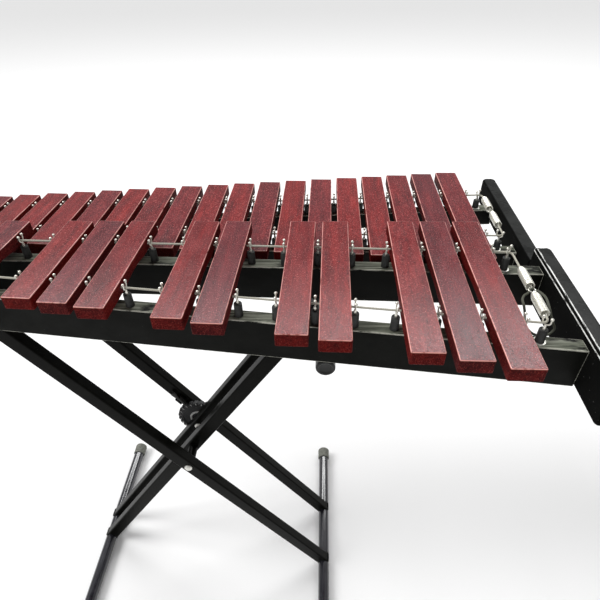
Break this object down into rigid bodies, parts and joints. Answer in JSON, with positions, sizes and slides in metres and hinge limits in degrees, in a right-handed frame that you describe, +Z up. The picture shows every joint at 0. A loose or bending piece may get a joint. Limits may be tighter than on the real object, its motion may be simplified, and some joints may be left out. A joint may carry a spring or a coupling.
{
  "type": "xylophone",
  "caption": "Orchestral xylophone: two rows of dark red wooden bars strung on cords over a black open frame, on a folding braced X stand.",
  "frame": {"origin": "on the floor, under the middle of the whole object", "axes": "+X along the rows to the bass end, +Y away from the raised accidentals towards the naturals, +Z up"},
  "size_m": [1.192, 0.559, 0.931],
  "materials": {
    "bar_wood": "dark red hardwood, satin lacquer",
    "cord_braid": "light grey braided cord",
    "spring_chrome": "plated spring steel",
    "frame_rail": "black lacquer, worn at the edges",
    "frame_board": "gloss black lacquer",
    "zinc": "zinc plated steel",
    "disc_plastic": "black glass-filled nylon",
    "stand_paint": "black enamel on steel tube"
  },
  "bodies": {
    "outer_arm": {"outer_arm": "stand_paint"},
    "instrument": {"accidental_bar_01": "bar_wood", "accidental_bar_02": "bar_wood", "accidental_bar_03": "bar_wood", "accidental_bar_04": "bar_wood", "accidental_bar_05": "bar_wood", "accidental_bar_06": "bar_wood", "accidental_bar_07": "bar_wood", "accidental_bar_08": "bar_wood", "accidental_bar_09": "bar_wood", "accidental_bar_10": "bar_wood", "accidental_bar_11": "bar_wood", "accidental_bar_12": "bar_wood", "accidental_bar_13": "bar_wood", "accidental_bar_14": "bar_wood", "accidental_bar_15": "bar_wood", "cord_accidental": "cord_braid", "cord_natural": "cord_braid", "end_board_bass_accidental": "frame_board", "end_board_bass_natural": "frame_board", "end_board_treble_accidental": "frame_board", "end_board_treble_natural": "frame_board", "natural_bar_01": "bar_wood", "natural_bar_02": "bar_wood", "natural_bar_03": "bar_wood", "natural_bar_04": "bar_wood", "natural_bar_05": "bar_wood", "natural_bar_06": "bar_wood", "natural_bar_07": "bar_wood", "natural_bar_08": "bar_wood", "natural_bar_09": "bar_wood", "natural_bar_10": "bar_wood", "natural_bar_11": "bar_wood", "natural_bar_12": "bar_wood", "natural_bar_13": "bar_wood", "natural_bar_14": "bar_wood", "natural_bar_15": "bar_wood", "natural_bar_16": "bar_wood", "natural_bar_17": "bar_wood", "natural_bar_18": "bar_wood", "natural_bar_19": "bar_wood", "natural_bar_20": "bar_wood", "natural_bar_21": "bar_wood", "natural_bar_22": "bar_wood", "rail_accidental_inner": "frame_rail", "rail_accidental_outer": "frame_rail", "rail_natural_inner": "frame_rail", "rail_natural_outer": "frame_rail", "tension_springs_accidental": "spring_chrome", "tension_springs_natural": "spring_chrome"},
    "outer_frame": {"outer_leg_front": "stand_paint", "outer_leg_rear": "stand_paint", "outer_foot": "stand_paint", "pivot_rod": "zinc"},
    "inner_frame": {"inner_leg_front": "stand_paint", "inner_leg_rear": "stand_paint", "inner_arm": "stand_paint", "inner_foot": "stand_paint", "lock_disc": "disc_plastic"},
    "lock_pin": {"lock_pin": "zinc"}
  },
  "joints": [
    {"name": "lift_off", "type": "slide", "parent": "outer_arm", "child": "instrument", "axis": [0, 0, 1], "range_m": [0, 0.06]},
    {"name": "outer_fold", "type": "hinge", "parent": "outer_arm", "child": "outer_frame", "pos_m": [-0.2659, 0, 0.8175], "axis": [0, 1, 0], "range_deg": [0, 30]},
    {"name": "scissor_pivot", "type": "hinge", "parent": "outer_frame", "child": "inner_frame", "pos_m": [0, 0, 0.4247], "axis": [0, 1, 0], "range_deg": [-60, 0]},
    {"name": "lock_pin_pull", "type": "slide", "parent": "outer_frame", "child": "lock_pin", "axis": [-0.5606, 0, 0.8281], "range_m": [0, 0.005], "stiffness_N_per_m": 150, "springref_m": -0.002}
  ],
  "couplings": [
    {"joint": "scissor_pivot", "follows": "outer_fold", "ratio": -2}
  ]
}
